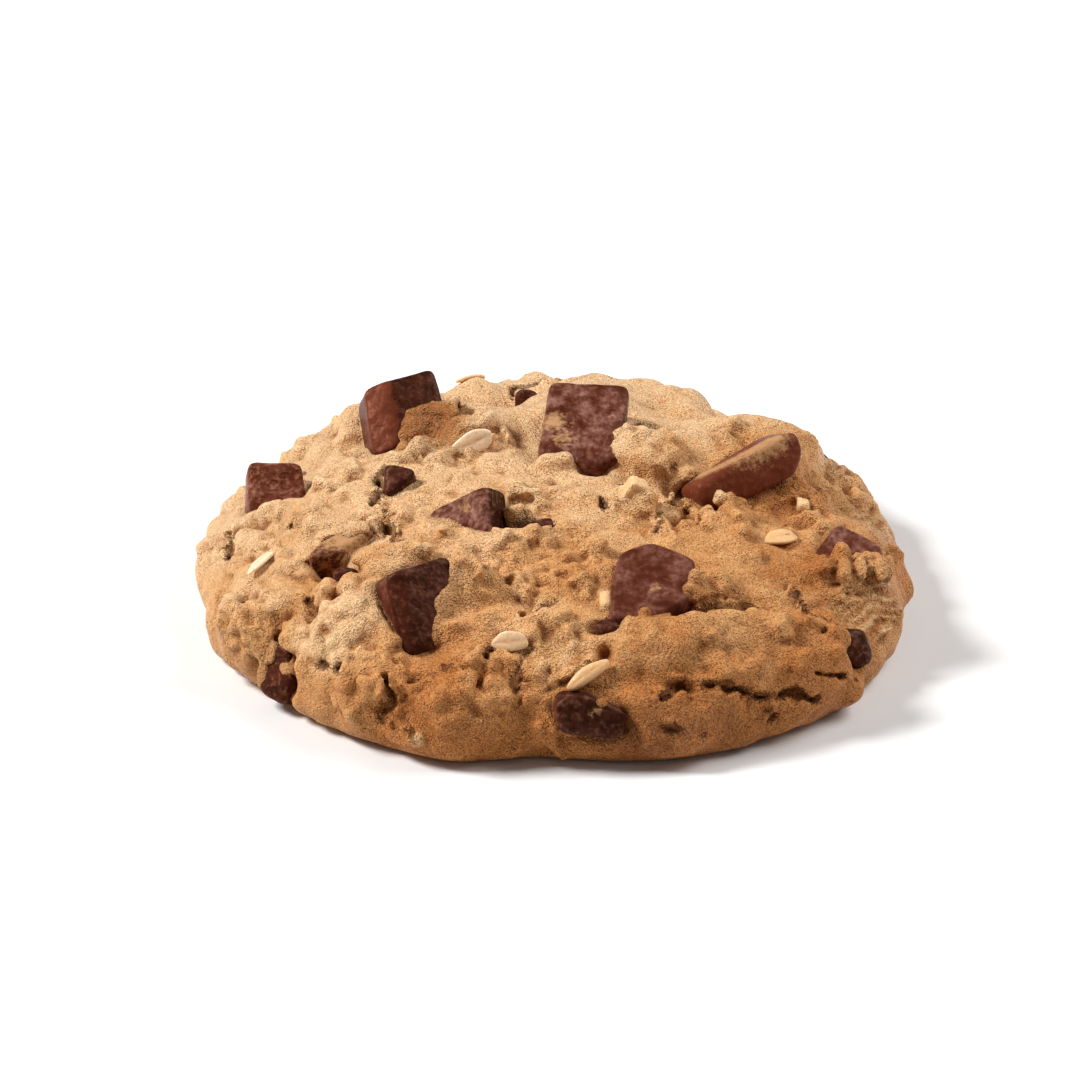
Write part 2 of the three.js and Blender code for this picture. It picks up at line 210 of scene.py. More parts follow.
corners = np.array([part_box(node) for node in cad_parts]).reshape(-1, 3) / MM
block = Block(corners.min(axis=0) - EDGE_ROOM, corners.max(axis=0) + EDGE_ROOM, CELL)
heights = (block.low[2] + CELL * np.arange(block.count[2])).astype(np.float32)  # of the cells
chunk_nodes = sorted(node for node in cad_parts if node.startswith("chunk"))
chocolate = block.solid(*chunk_nodes)

# The pockets are filled with the chunks' cores, and the facets are evened out.
CORE_COVER = 0.25  # chocolate over the dough that stands in for a chunk's core
FACET_BLUR = 0.75
bare_dough = block.solid("dough")
form = block.blur(np.minimum(bare_dough, chocolate + CORE_COVER), FACET_BLUR)

# The camera of the photograph. Marks on the dough are named by the pixel they are seen at.
PHOTO_SIDE = 1080  # pixels
SENSOR = 36.0
FOCAL_LENGTH = 166.7
CAMERA_TILT = math.radians(28.5)
CAMERA_REACH = 723.5
AIM_AT = np.array([-1.7, 15.4, 0])  # spot on the floor in the middle of the picture
FORWARD = np.array([0, math.cos(CAMERA_TILT), -math.sin(CAMERA_TILT)])
EYE = AIM_AT - CAMERA_REACH * FORWARD
COOKIE_SPAN = (0.88, 1.12)  # where the cookie lies, as shares of the camera's reach
SIGHT_STEPS = 700


def seen(pixels):
    """The spots of the dough that are seen at pixels of the photograph."""
    aside = (np.atleast_2d(pixels) - PHOTO_SIDE / 2) * SENSOR / (PHOTO_SIDE * FOCAL_LENGTH)
    upward = np.array([0, -FORWARD[2], FORWARD[1]])
    rays = FORWARD + aside[:, :1] * [1, 0, 0] - aside[:, 1:] * upward
    line = EYE + rays[:, None] * np.linspace(*COOKIE_SPAN, SIGHT_STEPS)[:, None] * CAMERA_REACH
    inside = block.at(form, line.reshape(-1, 3)).reshape(line.shape[:2]) < 0
    return line[np.arange(len(line)), np.argmax(inside, axis=1)]


# Some chunks were chopped twice, so a second facet shows beside the broad one.
FACETS = {  # two pixels of an edge, one of the facet beside it, its tilt and how much warmer and lighter it is painted as painted light; below 0 it is darker, as painted shade
    "chunk_back_left": ((385, 390), (391, 446), (370, 415), 32, 0.7),
    "chunk_front_left": ((399, 586), (410, 648), (388, 615), 26, 0.1),
    "chunk_centre": ((490, 496), (496, 522), (506, 512), 14, -0.7),
}
FACET_REACH = 14  # far enough to take in the chunk
facet_planes = {}
for node, (*pixels, tilt, facet_warmth) in FACETS.items():
    start, end, beside = seen(pixels)
    own = block.solid(node)
    face = block.slope(own, (start[None] + end) / 2)[0]
    sideways = np.cross(end - start, face)
    sideways *= np.sign(sideways @ (beside - start)) / np.linalg.norm(sideways)
    tilt = math.radians(tilt)
    outward = math.cos(tilt) * face + math.sin(tilt) * sideways
    centre = (start + end) / 2 + CORE_COVER * face
    facet_planes[node] = centre, outward, facet_warmth
    cells, away = block.near(centre, FACET_REACH)
    cut = ahead(away, outward)
    cut = np.where(own[cells] <= chocolate[cells] + 0.01, cut, -BAND)
    chocolate[cells] = np.maximum(chocolate[cells], cut)
form = block.blur(np.minimum(bare_dough, chocolate + CORE_COVER), FACET_BLUR)


CORE_SPAN = (0.75, 1.2)  # where a surface is looked for, from core to point and past it
CORE_STEPS = 200


def onto(field, near):
    """The spots of a surface in line with the core and points near the surface."""
    near = np.atleast_2d(near)
    line = CORE + (near - CORE)[:, None] * np.linspace(*CORE_SPAN, CORE_STEPS)[:, None]
    outside = block.at(field, line.reshape(-1, 3)).reshape(line.shape[:2]) > 0
    return line[np.arange(len(line)), np.argmax(outside, axis=1)]


def wander(count, evenness=9):
    """A smooth random walk about 0, mostly within -1 to 1."""
    window = np.hanning(evenness + 2)
    steps = rng.normal(0, 0.7, count + evenness + 1)
    return np.convolve(steps, window / np.linalg.norm(window), "valid")


def lump(centre, outward, sizes, boxy=2, unevenness=0.3):
    """The cells round a rounded or boxy lump on the surface, and its field there."""
    cells, away = block.near(centre, 1.5 * max(sizes) + 1)
    across = np.cross([0, 1, 0.3], outward)
    across /= np.linalg.norm(across)
    axes = across, np.cross(outward, across), outward
    scaled = [ahead(away, axis) / size for axis, size in zip(axes, sizes)]
    length = sum(np.abs(part) ** boxy for part in scaled) ** (1 / boxy)
    length += unevenness * ragged[cells] / max(sizes)
    return cells, (length - 1) * min(sizes)


dough = form.copy()
ragged = block.hills(1.3) + 0.6 * block.hills(0.8)  # coarse and fine, for edges and lumps

# Lumps all over, coarse to fine. They fade out on the chunks and towards the base.
clear = step_up(chocolate, -0.1, 0.6) * step_up(heights, 0.3, 2.5)
LUMPINESS = ((10.0, 1.0), (5.2, 0.85), (2.6, 0.42))  # pitch and height
MEAN_HILL = 0.45  # taken off, so lumps don't swell the dough
for pitch, height in LUMPINESS:
    fade = step_up(chocolate, 0, 0.45 * pitch) * step_up(heights, 0.3, 0.5 * pitch)
    dough += fade * height * (MEAN_HILL - np.abs(block.hills(pitch)))

# Lumps that stand out: pixel, half width, length and height, and how far raised.
MOUND_FILLET = 0.7
MOUND_SUNK = 0.4  # share of its half height
MOUND_LIFT = 1.5  # times how far raised
MOUNDS = {
    "knob by back chunk": ((650, 455), (4.2, 4.4, 3.2), 0.6),
    "shoulder behind back left chunk": ((352, 432), (3.0, 2.6, 1.8), 0.3),
    "knob left of it": ((350, 414), (1.6, 1.2, 1.2), 0.4),
    "lump under back left lap": ((432, 462), (1.8, 1.6, 1.3), 0.3),
    "second lump under lap": ((412, 460), (1.7, 1.4, 1.2), 0.3),
    "third lump under lap": ((395, 462), (1.5, 1.3, 1.1), 0.3),
    "ridge behind front left chunk": ((392, 556), (6.0, 2.4, 1.7), 0.5),
    "lump before left middle chunk": ((326, 594), (2.2, 2.4, 1.8), 0.5),
    "second lump before it": ((349, 590), (2.0, 2.2, 1.7), 0.5),
    "third lump before it": ((368, 592), (1.5, 2.0, 1.5), 0.4),
    "pale mound at front left": ((338, 628), (4.4, 5.5, 2.0), 0.2),
    "open crumb at left rim": ((247, 624), (3.2, 2.0, 1.6), 0.3),
    "crumb below it": ((263, 645), (1.6, 1.7, 1.5), 0.5),
    "crumb beside it": ((236, 643), (1.8, 1.2, 1.2), 0.4),
    "lump beside left rim chunk": ((295, 636), (2.3, 3.2, 1.9), 0.5),
    "lip over left rim chunk": ((303, 665), (2.0, 1.8, 1.5), 0.4),
    "crumb beside front chunk": ((547, 727), (2.0, 1.0, 1.4), 0.6),
    "curl under it": ((556, 745), (0.9, 2.2, 0.9), 0.3),
    "lump behind back right chunk": ((736, 424), (1.4, 1.8, 1.6), 0.4),
    "second lump behind it": ((727, 434), (1.1, 1.3, 1.1), 0.4),
    "block beside right middle chunk": ((718, 586), (2.6, 2.2, 2.0), 0.5),
    "crumb on right middle chunk": ((646, 613), (0.7, 0.7, 0.6), 0.4),
    "crumb before nut": ((643, 512), (2.0, 2.0, 1.6), 0.4),
    "first crumb of row": ((668, 514), (2.0, 1.5, 1.2), 0.4),
    "third of row": ((722, 508), (1.3, 1.5, 1.1), 0.5),
    "fourth of row": ((738, 508), (1.6, 1.7, 1.3), 0.5),
    "fifth of row": ((758, 510), (1.4, 1.4, 1.1), 0.4),
    "crumb behind right middle chunk": ((590, 549), (1.8, 2.0, 1.3), 0.5),
    "lump right of centre chunk": ((540, 536), (2.6, 2.0, 1.3), 0.3),
    "lap at back chunk's foot": ((556, 463), (2.6, 1.4, 1.6), 0.7),
    "right middle chunk's edge": ((700, 590), (1.8, 2.4, 1.8), 0.8),
    "its lower corner": ((693, 603), (2.6, 2.0, 2.0), 0.7),
    "crumb on its right": ((690, 578), (0.9, 1.1, 0.9), 0.8),
    "cap on front chunk": ((601, 705), (1.2, 0.9, 0.9), 0.5),
    "top edge of fold": ((702, 624), (3.2, 1.3, 1.3), 0.5),
    "its middle": ((734, 620), (3.4, 1.3, 1.3), 0.5),
    "its right": ((768, 626), (3.4, 1.3, 1.3), 0.5),
    "end of fold": ((796, 626), (2.6, 1.5, 1.5), 0.6),
    "under back right chunk": ((790, 490), (2.4, 2.0, 1.6), 0.3),
    "before back right chunk": ((765, 500), (2.6, 1.6, 1.4), 0.3),
    "lump on left shoulder": ((305, 520), (3.4, 2.4, 1.5), 0.3),
    "second lump on it": ((340, 470), (3.0, 3.4, 1.5), 0.3),
    "third lump on it": ((362, 492), (2.4, 2.6, 1.4), 0.3),
    "lump at left edge": ((250, 545), (2.6, 2.8, 1.5), 0.3),
    "lump over left rim": ((285, 600), (3.6, 2.8, 1.4), 0.2),
    "lump at front left": ((360, 690), (4.0, 3.4, 1.3), 0.2),
    "lump above front edge": ((450, 700), (4.4, 3.4, 1.3), 0.2),
}
for rib in range(5):
    MOUNDS[f"rib {rib} over the right chunk"] = ((821 + 14 * rib, 570), (1.0, 2.2, 1.5), 0.4)
for pixel, sizes, lift in MOUNDS.values():
    spot = seen(pixel)
    outward = block.slope(form, spot)[0]
    centre = spot[0] + (MOUND_LIFT * lift - MOUND_SUNK * sizes[2]) * outward
    cells, mound = lump(centre, outward, sizes)
    dough[cells] = soft_join(dough[cells], mound, MOUND_FILLET)

# Hollows: pixel, half width, length and depth.
HOLLOW_FILLET = 0.5
CORE_DUG = 0.4  # how far a hollow or crack may go into the core of a chunk
HOLLOWS = {
    "before left middle chunk": ((320, 570), (3.0, 1.8, 3.8)),
    "above left rim chunk": ((280, 645), (1.5, 2.4, 2.0)),
    "right of back chunk": ((637, 436), (1.3, 3.4, 2.4)),
    "before back chunk": ((594, 470), (2.2, 1.6, 1.6)),
    "left of back right chunk": ((682, 488), (3.4, 2.4, 2.0)),
    "behind back right chunk": ((733, 435), (0.9, 0.8, 1.4)),
    "at left edge": ((228, 546), (1.6, 1.8, 1.3)),
    "beside back left lap": ((468, 407), (1.5, 2.6, 1.5)),
    "along left crack": ((384, 512), (1.3, 3.0, 2.0)),
    "behind left middle chunk": ((370, 529), (1.6, 1.0, 1.4)),
    "right of centre chunk": ((535, 524), (2.8, 1.2, 1.6)),
    "left of nut": ((603, 502), (0.8, 1.3, 1.5)),
    "right of nut": ((651, 505), (1.4, 2.2, 1.7)),
    "round front bit": ((604, 628), (2.2, 1.3, 1.0)),
    "hole by front oat": ((605, 653), (0.9, 1.0, 1.4)),
    "hole at front left": ((392, 670), (0.7, 0.8, 1.2)),
    "under front left chunk": ((450, 658), (1.5, 0.8, 1.0)),
    "beside right middle chunk": ((690, 612), (1.6, 1.4, 1.8)),
    "under right ribs": ((843, 585), (4.0, 1.4, 1.3)),
    "at end of ribs": ((889, 560), (0.8, 2.0, 1.3)),
}
for pixel, sizes in HOLLOWS.values():
    spot = seen(pixel)
    outward = block.slope(form, spot)[0]
    cells, hollow = lump(spot[0], outward, sizes)
    hole = np.minimum(-hollow, chocolate[cells] + CORE_DUG)
    dough[cells] = -soft_join(-dough[cells], -hole, HOLLOW_FILLET)


CRUMB_ROOM = 0.6  # share of a crumb's size that has to be free of chocolate
CRUMB_GAP = 0.15  # between a crumb and the chocolate
CRUMB_RAGGED = 0.2  # share of its size


def add_crumbs(spots, small, large, sunk, blend):
    """Sets crumbs, part of each sunk in, on spots that are clear of the chocolate."""
    inward = -block.slope(form, spots)
    for spot, room, down in zip(spots, block.at(chocolate, spots), inward):
        size = small + (large - small) * rng.uniform() ** 2
        if room > CRUMB_ROOM * size:
            cells, away = block.near(spot + sunk * size * down, 1.6 * size + CELL)
            stretch = rng.uniform(0.75, 1.3, 3)
            crumb = np.sqrt(sum((a / s) ** 2 for a, s in zip(away, stretch))) - size
            crumb += CRUMB_RAGGED * size * ragged[cells]
            crumb = np.maximum(crumb, CRUMB_GAP - chocolate[cells])
            dough[cells] = soft_join(dough[cells], crumb, blend)


def closeness(away, reach, full):
    """1 for cells or spots within a share of a reach, falling to 0 at the reach."""
    return 1 - step_up(distance(away), full * reach, reach)


# The open crumb is a heap of crumbs, and the skin between has low soft lumps.
crumbly = 0.7 * step_up(block.hills(11), 0.3, 1.1) * clear
OPEN_CRUMB = {
    "middle": ((530, 572), 7), "front middle": ((505, 675), 8), "left rim": ((245, 630), 6),
    "before back right chunk": ((725, 512), 6), "round nut": ((635, 505), 4),
    "fold crack": ((740, 690), 7), "under back left lap": ((430, 440), 7),
    "right ribs": ((850, 570), 6), "left crack": ((385, 515), 5), "front left": ((370, 690), 9),
    "left of right middle chunk": ((592, 575), 6), "by front chunk": ((548, 732), 4),
}
for pixel, reach in OPEN_CRUMB.values():
    cells, away = block.near(seen(pixel)[0], reach)
    crumbly[cells] = np.maximum(crumbly[cells], closeness(away, reach, full=0.4) * clear[cells])
rng = np.random.default_rng(11)  # draws of their own, so other changes leave the crumbs
CRUMBS = (  # how many, smallest and largest, how far sunk, fillet, share of them in open crumb
    (380, 1.2, 3.0, 0.7, 0.5, 0.4),
    (650, 0.6, 1.4, 0.65, 0.4, 1.0),
    (1100, 0.4, 0.75, 0.6, 0.3, 1.0),
)
SMOOTH_BACK = (8, 24)  # where the crumbs thin out towards the back
STEEP_TO_LEVEL = (0.4, 0.75)  # upward part of a slope that they lie on
LOWEST_CRUMB = 1.5
for count, small, large, sunk, blend, share in CRUMBS:
    skin = np.argwhere((np.abs(dough) < 0.5 * CELL) & (heights > LOWEST_CRUMB))
    spots = block.low + CELL * skin
    odds = 1 - share + share * crumbly[tuple(skin.T)]
    odds = odds * (1 - step_up(spots[:, 1], *SMOOTH_BACK))
    odds *= step_up(block.slope(form, spots)[:, 2], *STEEP_TO_LEVEL)
    chosen = skin[rng.choice(len(skin), count, replace=False, p=odds / odds.sum())]
    add_crumbs(block.low + CELL * chosen, small, large, sunk, blend)
REAR_CRUMBS = ((70, 1.2, 2.8, 0.7, 0.5), (160, 0.5, 1.3, 0.65, 0.4))  # as above, low at the back
HIGHEST_REAR_CRUMB = 11
for count, small, large, sunk, blend in REAR_CRUMBS:
    low_enough = (heights > LOWEST_CRUMB) & (heights < HIGHEST_REAR_CRUMB)
    spots = block.low + CELL * np.argwhere((np.abs(dough) < 0.5 * CELL) & low_enough)
    spots = spots[spots[:, 1] > SMOOTH_BACK[1]]
    add_crumbs(rng.choice(spots, count, replace=False), small, large, sunk, blend)

# Cracks: the width and the depth that they tore open to, and the pixels they run through.
CRACKS = {
    "above fold": (
        1.7, 3.0, (672, 613), (690, 612), (705, 609), (730, 607), (748, 609), (757, 613),
        (776, 615),
    ),
    "down to fold": (0.9, 2.4, (794, 586), (799, 597), (804, 610)),
    "end of fold": (1.0, 2.4, (812, 616), (824, 623), (836, 630)),
    "under fold": (
        0.65, 2.2, (655, 691), (672, 693), (690, 688), (701, 683), (722, 687), (744, 689),
        (758, 695), (778, 697), (797, 690), (808, 697), (823, 696),
    ),
    "to right rim chunk": (0.4, 1.4, (803, 679), (815, 675), (832, 674), (846, 673)),
    "in fold's end": (0.5, 1.4, (823, 636), (821, 643), (824, 651)),
    "below fold": (0.8, 1.6, (764, 711), (772, 717), (768, 722)),
    "small one below fold": (0.7, 1.5, (699, 734), (703, 728)),
    "low at front": (0.6, 1.4, (655, 727), (668, 728), (684, 727)),
    "above middle oat": (0.65, 1.8, (521, 626), (535, 614), (545, 606), (557, 598)),
    "left of middle oat": (0.65, 1.8, (483, 664), (488, 655), (493, 650), (499, 640)),
    "below middle oat": (0.7, 1.8, (512, 690), (518, 677), (521, 668)),
    "right of middle oat": (0.55, 1.5, (521, 662), (527, 651), (532, 645)),
    "along front left chunk": (0.8, 1.7, (440, 661), (452, 659), (462, 655)),
    "down at front left": (
        0.75, 2.0, (391, 676), (387, 684), (395, 695), (390, 701), (384, 709), (381, 717),
        (375, 723),
    ),
    "small one at front left": (0.7, 1.4, (431, 699), (427, 706)),
    "low at front left": (0.7, 1.6, (409, 727), (412, 734), (416, 742)),
    "between left chunks": (
        1.0, 3.0, (386, 470), (383, 484), (381, 500), (384, 512), (386, 523), (391, 533),
        (394, 546),
    ),
    "behind left middle chunk": (0.7, 1.6, (362, 523), (350, 529), (339, 535), (324, 545)),
    "right of centre chunk": (1.3, 2.6, (515, 526), (530, 525), (546, 521)),
    "left of nut": (0.8, 2.2, (598, 496), (603, 502), (606, 511)),
    "round nut": (
        0.8, 2.2, (620, 485), (630, 483), (638, 488), (643, 498), (651, 505), (657, 514),
        (655, 531),
    ),
    "before hollow": (0.8, 2.0, (660, 508), (672, 504), (684, 513), (694, 512)),
    "left shoulder": (0.6, 1.3, (284, 531), (291, 528), (296, 525)),
    "left edge": (0.7, 1.5, (234, 533), (228, 547), (231, 558), (238, 549)),
    "round pale mound": (0.7, 1.6, (312, 600), (316, 612), (311, 622)),
    "under pale mound": (0.7, 1.6, (318, 664), (330, 669), (343, 668), (345, 676)),
    "over front oat": (0.6, 1.4, (560, 683), (567, 680), (585, 667), (600, 658)),
    "at back": (0.8, 1.6, (470, 408), (462, 413), (455, 420)),
}
HIDDEN_CRACKS = {  # the same, by spots near the surface
    "rear left": (0.9, 2.2, (-30, 28, 13), (-26, 31, 12), (-24, 36, 10), (-18, 39, 9)),
    "rear middle": (0.8, 2.0, (-6, 40, 12), (0, 41, 11), (5, 43, 9), (10, 43, 9)),
    "rear right": (0.9, 2.2, (22, 33, 12), (26, 33, 11), (28, 36, 8)),
    "low at the rear": (0.7, 1.8, (8, 46, 5), (14, 45, 6), (18, 44, 5)),
}
rng = np.random.default_rng(12)  # draws of their own again
TEAR = 0.5  # share of the depth that is open; crumbs fill the rest
CRACK_STEP = 0.3  # between the spots along a crack
CRACK_WANDER = 0.3  # how far it strays
CRACK_END = 2.0  # run over which it gains its full width
CRACK_TIP = 0.35  # share of its width at the tips
UNEVEN_WIDTH = 0.75
CRACK_RAGGED = 0.4
LIP_ODDS = 0.7  # share of the spots that have a crumb on a lip
LIP_ASIDE, LIP_RAISED = (0.35, 1.1), (-0.4, 0.1)
lips = []
crack_edge = np.full(block.count, BAND, np.float32)  # how far a cell is from the edge of a crack
cracks = [(width, depth, seen(pixels)) for width, depth, *pixels in CRACKS.values()]
for width, depth, *near in HIDDEN_CRACKS.values():
    cracks.append((width, depth, onto(form, near)))
for width, depth, stops in cracks:
    depth *= TEAR
    along = np.append(0, np.cumsum(np.linalg.norm(np.diff(stops, axis=0), axis=1)))
    steps = np.arange(0, along[-1], CRACK_STEP)
    path = np.stack([np.interp(steps, along, stops[:, axis]) for axis in range(3)], axis=1)
    stray = np.stack([wander(len(path)) for axis in range(3)], axis=1)
    path = onto(form, path + CRACK_WANDER * stray)
    ends = np.clip(np.minimum(steps, along[-1] - steps) / CRACK_END + CRACK_TIP, 0, 1)
    halves = 0.5 * width * ends * (1 + UNEVEN_WIDTH * wander(len(path), 5))
    runs = np.gradient(path, axis=0)
    for spot, run, outward, half in zip(path, runs, block.slope(form, path), halves):
        if rng.uniform() < LIP_ODDS:
            lip = np.cross(outward, run) * rng.choice((-1, 1))
            lip *= (half + rng.uniform(*LIP_ASIDE)) / np.linalg.norm(lip)
            lips.append(spot + lip + rng.uniform(*LIP_RAISED) * outward)
        cells, away = block.near(spot, depth + width)
        up = ahead(away, outward)
        aside = np.sqrt(np.maximum(sum(a * a for a in away) - up * up, 0))
        edge = np.sqrt(aside * aside + 0.2 * up * up) - half
        crack_edge[cells] = np.minimum(crack_edge[cells], edge)
        cut = half * np.clip(1 + up / depth, -1, 1.3) - aside - CRACK_RAGGED * ragged[cells]
        cut = np.minimum(cut, chocolate[cells] + CORE_DUG)
        dough[cells] = np.maximum(dough[cells], np.minimum(cut, up + depth))
add_crumbs(np.array(lips), small=0.25, large=0.65, sunk=0.0, blend=0.25)

# The whole skin is a little ragged, and the open crumb more so.
SKIN_RAGGED, OPEN_RAGGED = 0.1, 0.12
dough += clear * (SKIN_RAGGED + OPEN_RAGGED * crumbly) * ragged

# Nut bits and pale crumbs that sit on top: pixel, half width, length and height, how far raised,
# how square and how brown they are.
BIT_FILLET = 0.3
BITS = {
    "nut": ((627, 500), (1.5, 1.2, 1.8), 1.0, 8, 0.0),
    "crumb at end of row": ((801, 507), (0.9, 0.9, 0.9), 0.2, 5, 0.2),
    "crumb before hollow": ((665, 519), (1.7, 1.4, 1.0), 0.3, 3, 0.3),
    "crumb of row": ((703, 503), (0.9, 1.1, 1.3), 0.5, 4, 0.25),
    "bead on mound": ((339, 640), (0.9, 0.9, 0.7), 0.0, 2, 0.3),
    "second bead": ((340, 657), (0.9, 1.2, 0.7), 0.0, 2, 0.3),
    "long crumb": ((607, 601), (0.9, 1.6, 0.8), 0.1, 4, 0.2),
    "crumb at front": ((418, 740), (1.1, 0.9, 0.6), 0.0, 3, 0.3),
}
for finger in range(5):
    pixel = (833 + 12.5 * finger, 570)
    BITS[f"finger {finger} below the right chunk"] = (pixel, (0.85, 2.2, 1.1), 0.35, 2.5, 0.42)
crust = block.blur(dough, 0.8)
bit_edge = np.full(block.count, BAND, np.float32)  # how far a cell is from a pale bit
for pixel, sizes, lift, boxy, browned in BITS.values():
    spot = onto(crust, seen(pixel))
    outward = block.slope(form, spot)[0]
    centre = spot[0] + lift * outward
    cells, bit = lump(centre, outward, sizes, boxy, unevenness=0.08)
    bit_edge[cells] = np.minimum(bit_edge[cells], bit + browned)
    dough[cells] = soft_join(dough[cells], bit, BIT_FILLET)

# The skin wrinkled where it sagged over the right rim: pixel and reach.
WRINKLED = {"right rim": ((868, 602), 8), "right skin": ((880, 522), 6)}
WRINKLE_RUN = (-0.15, 0.2, 0.75)  # across the wrinkles, one to each unit of this
WRINKLE_DEPTH = 0.1
wrinkles = np.zeros(block.count, np.float32)
folds = block.hills(3.0)
for pixel, reach in WRINKLED.values():
    cells, away = block.near(seen(pixel)[0], reach)
    turns = ahead(away, WRINKLE_RUN) + 0.7 * folds[cells]
    wave = np.sin(2 * math.pi * turns)
    wrinkles[cells] += closeness(away, reach, full=0.5) * clear[cells] * wave
dough -= WRINKLE_DEPTH * wrinkles

# Thin dough that stuck to the faces of chunks: pixel, reach and thickness.
FILM_FILLET = 0.2
FILM_RAGGED = 0.45  # at its edge
FILM_UNEVEN = 0.08
FILMS = {
    "left middle chunk, right": ((354, 533), 2.4, 0.5),
    "left rim chunk, right": ((292, 668), 1.7, 0.7),
    "left rim chunk, lower left": ((264, 676), 1.6, 0.3),
    "left rim chunk, top": ((270, 652), 1.6, 0.4),
    "front left chunk, under its arm": ((449, 604), 1.9, 0.35),
    "front left chunk, right": ((445, 622), 1.6, 0.35),
    "front left chunk, lower right": ((442, 638), 1.3, 0.35),
}
for pixel, reach, thickness in FILMS.values():
    cells, away = block.near(seen(pixel)[0], reach + 2)
    edge = distance(away) - reach + FILM_RAGGED * ragged[cells]
    film = np.maximum(chocolate[cells] - thickness + FILM_UNEVEN * ragged[cells], edge)
    dough[cells] = soft_join(dough[cells], film, FILM_FILLET)

# The base is flat where it lay on the tray.
dough = np.maximum(dough, -heights)
DOUGH_MERGE = 0.04  # how far flat facets are merged, from 0 to 1
dough_piece, spots = block.piece("dough_crumb", dough, DOUGH_MERGE)

# How hollow, toasted and cocoa-stained the dough is at each spot, for its colours, with painted
# shade on the lap over the back left chunk.
PIT_REACH, DIP_REACH = 0.5, 1.5  # small hollows and wide ones
pit_depth = -block.at(block.blur(dough, PIT_REACH), spots) / PIT_REACH
dip_depth = -block.at(block.blur(dough, DIP_REACH), spots) / DIP_REACH
HOT_SIDE = np.array([0.42, -0.75, -0.6])  # browner towards the front, the right and below
MIDDLE = np.array([0, 0, 14])
MIDDLE_TOAST = 0.24
HEAT_REACH = 65  # how far towards that side the dough gets 1 browner
PATCHY_TOAST = 0.12
PATCH_PITCH = 9
REAR_RIM_TOAST = 0.9
toasting = MIDDLE_TOAST + (spots - MIDDLE) @ HOT_SIDE / HEAT_REACH
toasting += PATCHY_TOAST * block.at(block.hills(PATCH_PITCH), spots)
toasting += REAR_RIM_TOAST * (1 - step_up(spots[:, 2], 1, 9)) * step_up(spots[:, 1], 0, 20)
BROWNED = {  # pixels, how far and how much browner the dough is there; on the lap this is painted shade
    # painted shade: the lap is painted browner where it lies in shade
    "lap over back left chunk": ((428, 425), 8, 1.1),
    "front edge": ((590, 752), 14, 0.3),
    "front left": ((400, 700), 14, 0.2),
    "pale mound": ((338, 628), 9, -0.35),
    "back middle": ((560, 420), 14, -0.42),
    "middle": ((565, 630), 12, -0.3),
    "left": ((270, 592), 8, -0.2),
    "before middle oat": ((500, 600), 10, -0.12),
    "right back": ((790, 450), 16, 0.32),
    "fold": ((740, 650), 11, -0.16),
    "right rim": ((870, 610), 10, -0.2),
    "right": ((800, 560), 9, 0.32),
    "left back": ((290, 515), 8, 0.12),
    "front edge, right": ((700, 745), 14, 0.28),
    "knob": ((650, 455), 7, 0.1),
}
for pixel, reach, amount in BROWNED.values():
    toasting += amount * closeness((spots - seen(pixel)).T, reach, full=0.4)
STAIN_REACH = 0.5
staining = np.exp(-np.maximum(block.at(chocolate, spots), 0) / STAIN_REACH)
SMOOTH_LEFT = (-34, -12)  # where the smooth left side turns sandy
sandiness = step_up(spots[:, 0] + 6 * block.at(block.hills(PATCH_PITCH), spots), *SMOOTH_LEFT)


def marked(marks, spots):
    """How near spots are to the closest of some marks: 1 at its pixel and 0 at its reach."""
    nearness = np.zeros(len(spots))
    for pixel, reach in marks.values():
        nearness = np.maximum(nearness, 1 - np.linalg.norm(spots - seen(pixel), axis=1) / reach)
    return nearness


def store(piece, **layers):
    """Stores values at the points of a piece, for its finish to read."""
    for name, values in layers.items():
        values = np.broadcast_to(values, len(piece.data.vertices)).astype(np.float32)
        piece.data.attributes.new(name, "FLOAT", "POINT").data.foreach_set("value", values)


STAINED = {  # pixels where cocoa melted into the dough, and how far; on the lap this is painted shade
    # the lap's entry is painted shade; the rim chunks' entries are cocoa stain
    "lap over the back left chunk": ((428, 425), 10), "left rim chunk": ((272, 682), 5),
    "right rim chunk": ((852, 652), 4),
}
STAIN_STRENGTH = 1.2
staining = np.maximum(staining, STAIN_STRENGTH * marked(STAINED, spots))
GLOSSY = {  # pixels where butter left the skin glossy
    "left crumb": ((243, 632), 8), "right skin": ((870, 520), 9), "right rim": ((868, 602), 9),
    "end of the fold": ((812, 625), 4),
}
store(
    dough_piece, pit=pit_depth, dip=dip_depth, toast=toasting, cocoa=staining, sandy=sandiness,
    seam=block.at(crack_edge, spots), pale=block.at(bit_edge, spots),
    gloss=marked(GLOSSY, spots), wrinkle=block.at(wrinkles, spots),
)


class Value:
    """An output of a material's node, which sums and products can be written with."""

    def __init__(self, finish, socket):
        self.finish = finish
        self.socket = socket

    def __add__(self, other):
        return self.finish.math("ADD", self, other)

    def __sub__(self, other):
        return self.finish.math("SUBTRACT", self, other)

    def __rsub__(self, other):
        return self.finish.math("SUBTRACT", other, self)

    def __mul__(self, other):
        return self.finish.math("MULTIPLY", self, other)

    def __abs__(self):
        return self.finish.math("ABSOLUTE", self, 0)

    __radd__ = __add__
    __rmul__ = __mul__


